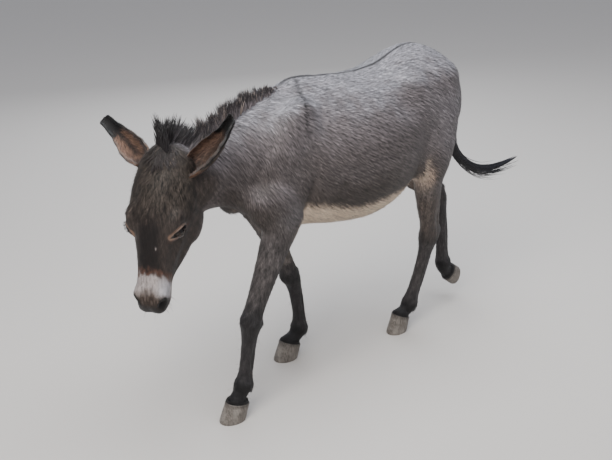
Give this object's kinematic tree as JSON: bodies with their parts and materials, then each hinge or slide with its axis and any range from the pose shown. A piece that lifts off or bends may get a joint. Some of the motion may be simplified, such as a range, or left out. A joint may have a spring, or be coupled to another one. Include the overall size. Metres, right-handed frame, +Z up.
{
  "type": "donkey",
  "caption": "Still, life-size young donkey in mid-stride: a hind hoof lifted, head low and turned to its left, ears out sideways, tail swung out behind.",
  "frame": {"origin": "on the ground, under the middle of the whole animal's box", "axes": "+Z up, the donkey faces -Y, +X is its left side"},
  "size_m": [0.4654, 1.6964, 1.0718],
  "materials": {
    "body_coat": "short grey-dun hair lying flat, matt",
    "leg_coat": "short dark grey hair lying flat, matt",
    "dark_coat": "short near-black hair, matt",
    "muzzle_hair": "very short pale grey and white hair, matt",
    "long_hair": "coarse black-brown hair, slightly glossy",
    "ear_hair": "brown ear edged black, with long pale hair inside",
    "eye": "wet and glossy, near black",
    "hoof_horn": "grey-brown horn with fine rings, dull"
  },
  "bodies": {
    "root": {"head": "body_coat", "muzzle": "muzzle_hair", "neck": "body_coat", "forequarters": "body_coat", "barrel": "body_coat", "hindquarters": "body_coat", "tail_dock": "dark_coat", "tail_switch": "long_hair", "fore_left_forearm": "body_coat", "fore_left_cannon": "leg_coat", "fore_left_pastern": "dark_coat", "fore_right_forearm": "body_coat", "fore_right_cannon": "leg_coat", "fore_right_pastern": "dark_coat", "hind_left_gaskin": "body_coat", "hind_left_cannon": "leg_coat", "hind_left_pastern": "dark_coat", "hind_right_gaskin": "body_coat", "hind_right_cannon": "leg_coat", "hind_right_pastern": "dark_coat", "mane": "long_hair", "ear_left": "ear_hair", "eye_left": "eye", "ear_right": "ear_hair", "eye_right": "eye", "fore_left_hoof": "hoof_horn", "fore_right_hoof": "hoof_horn", "hind_left_hoof": "hoof_horn", "hind_right_hoof": "hoof_horn"}
  },
  "joints": []
}
